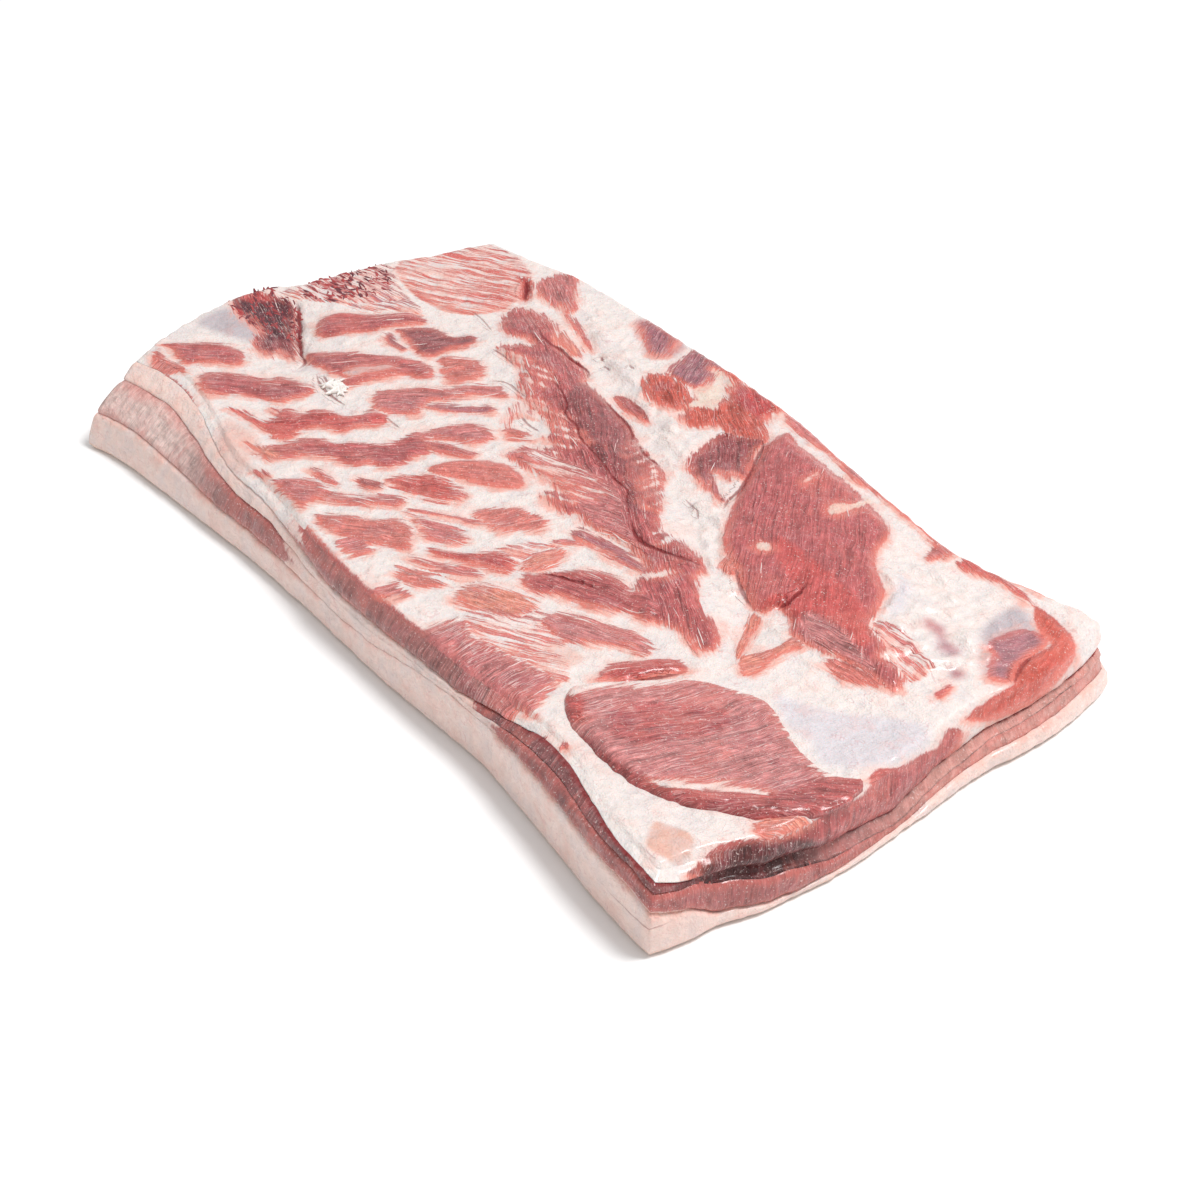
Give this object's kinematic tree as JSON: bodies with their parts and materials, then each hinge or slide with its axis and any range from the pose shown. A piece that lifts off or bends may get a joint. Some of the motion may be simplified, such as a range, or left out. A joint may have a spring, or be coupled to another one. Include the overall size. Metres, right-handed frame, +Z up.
{
  "type": "raw pork belly slab",
  "caption": "Whole raw pork belly slab, skin side down and rib side up, with layers of fat and lean that show along its sides and a thick muscle at one corner.",
  "frame": {"origin": "centre of the slab's box in plan, on its flat skin side", "axes": "+X along the slab towards the end with the thick muscle, +Y across it, +Z up out of the rib side"},
  "size_m": [0.5842, 0.3276, 0.0507],
  "materials": {
    "skin_fat": "pale pink back fat and skin, soft and slightly moist",
    "lower_lean": "brownish pink lean, coarse fibres, moist",
    "seam_fat": "creamy white fat, lumpy, soft sheen",
    "rib_side": "red lean and white fat under a thin moist membrane",
    "near_muscle": "dark red lean, fibres across the slab, moist"
  },
  "bodies": {
    "root": {"fat_cap": "skin_fat", "lower_lean": "lower_lean", "seam_fat": "seam_fat", "rib_side_meat": "rib_side", "near_muscle": "near_muscle"}
  },
  "joints": []
}
